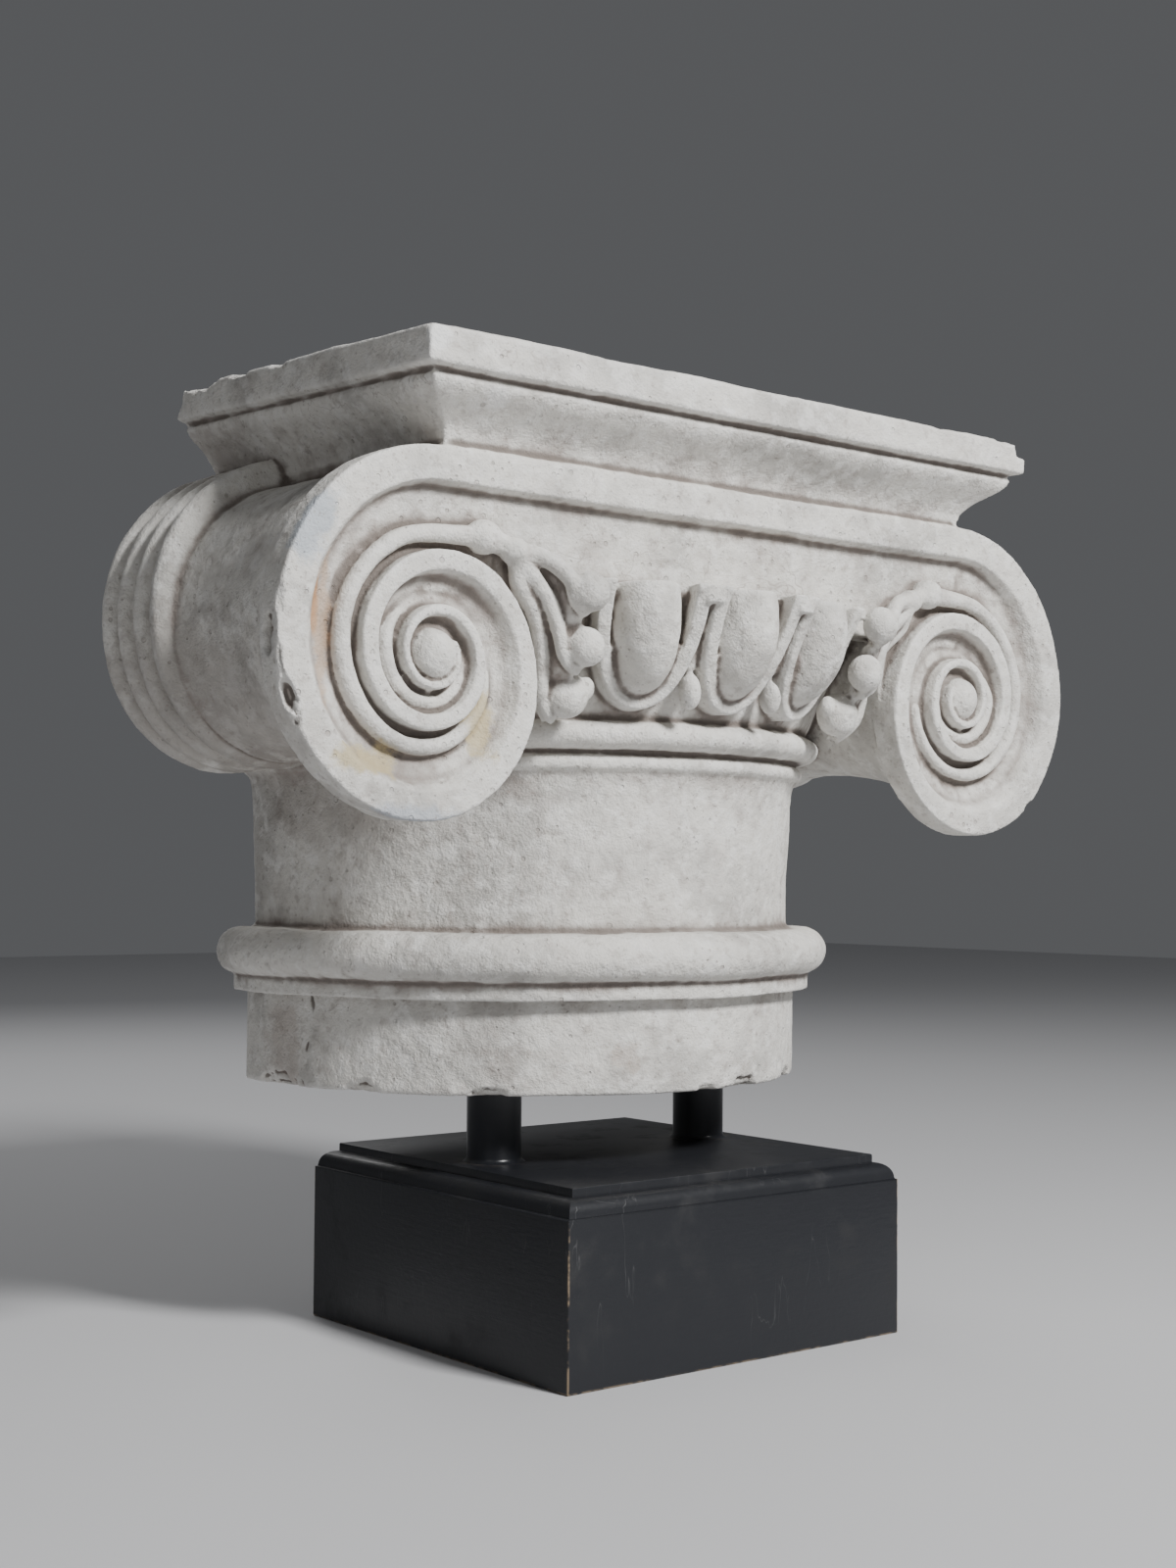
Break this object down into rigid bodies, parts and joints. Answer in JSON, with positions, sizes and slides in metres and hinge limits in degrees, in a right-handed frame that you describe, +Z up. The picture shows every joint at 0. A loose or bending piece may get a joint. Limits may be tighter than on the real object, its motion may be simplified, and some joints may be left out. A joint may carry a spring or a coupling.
{
  "type": "ionic capital",
  "caption": "Half Ionic capital in cast plaster with scroll volutes, eggs and darts and a moulded neck, cut flat behind and held on two posts over a black base block.",
  "frame": {"origin": "middle of the base block's underside", "axes": "+X along the front face from the left volute to the right one, +Y to the flat back, +Z up; the volutes face -Y"},
  "size_m": [0.7084, 0.323, 0.666],
  "materials": {
    "plaster": "matt off-white plaster with pale brown dirt in the hollows",
    "black_steel": "satin black enamel on round steel tube",
    "black_paint": "satin black paint on a wooden block, worn at the arrises"
  },
  "bodies": {
    "root": {"capital": "plaster", "mount_post_left": "black_steel", "mount_post_right": "black_steel", "base_block": "black_paint"}
  },
  "joints": []
}
